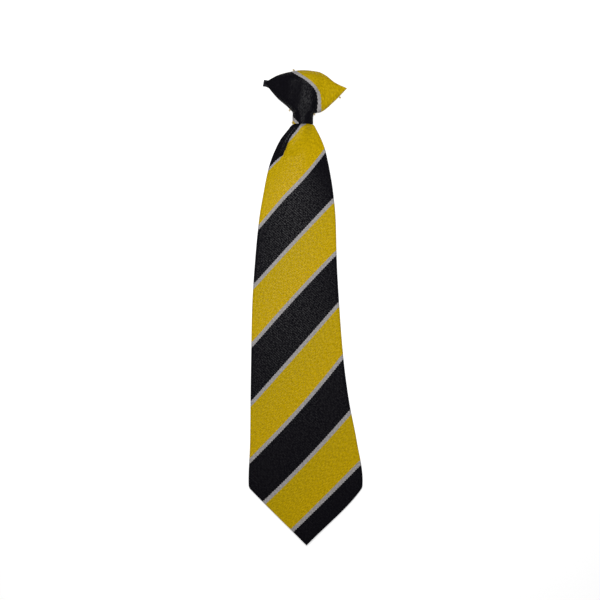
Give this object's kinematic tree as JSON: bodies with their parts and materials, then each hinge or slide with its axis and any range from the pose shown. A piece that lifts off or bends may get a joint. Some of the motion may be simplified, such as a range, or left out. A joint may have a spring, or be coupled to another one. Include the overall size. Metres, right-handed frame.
{
  "type": "elastic tie",
  "caption": "Short ready-tied school tie with diagonal stripes: a folded blade with a pointed tip, a winged knot and an elastic neck band, lying flat.",
  "frame": {"origin": "on the surface that the tie lies on, under the middle of its outline", "axes": "+Y runs up the tie to the knot, +Z is its front and points up, +X is to the right as it is looked down on"},
  "size_m": [0.0846, 0.3499, 0.0111],
  "materials": {
    "striped_cloth": "woven twill in diagonal stripes of charcoal black, silver grey and golden yellow, matt with a soft sheen",
    "black_elastic": "flat braided elastic, matt black"
  },
  "bodies": {
    "root": {"blade": "striped_cloth", "knot": "striped_cloth", "neck_elastic": "black_elastic"}
  },
  "joints": []
}
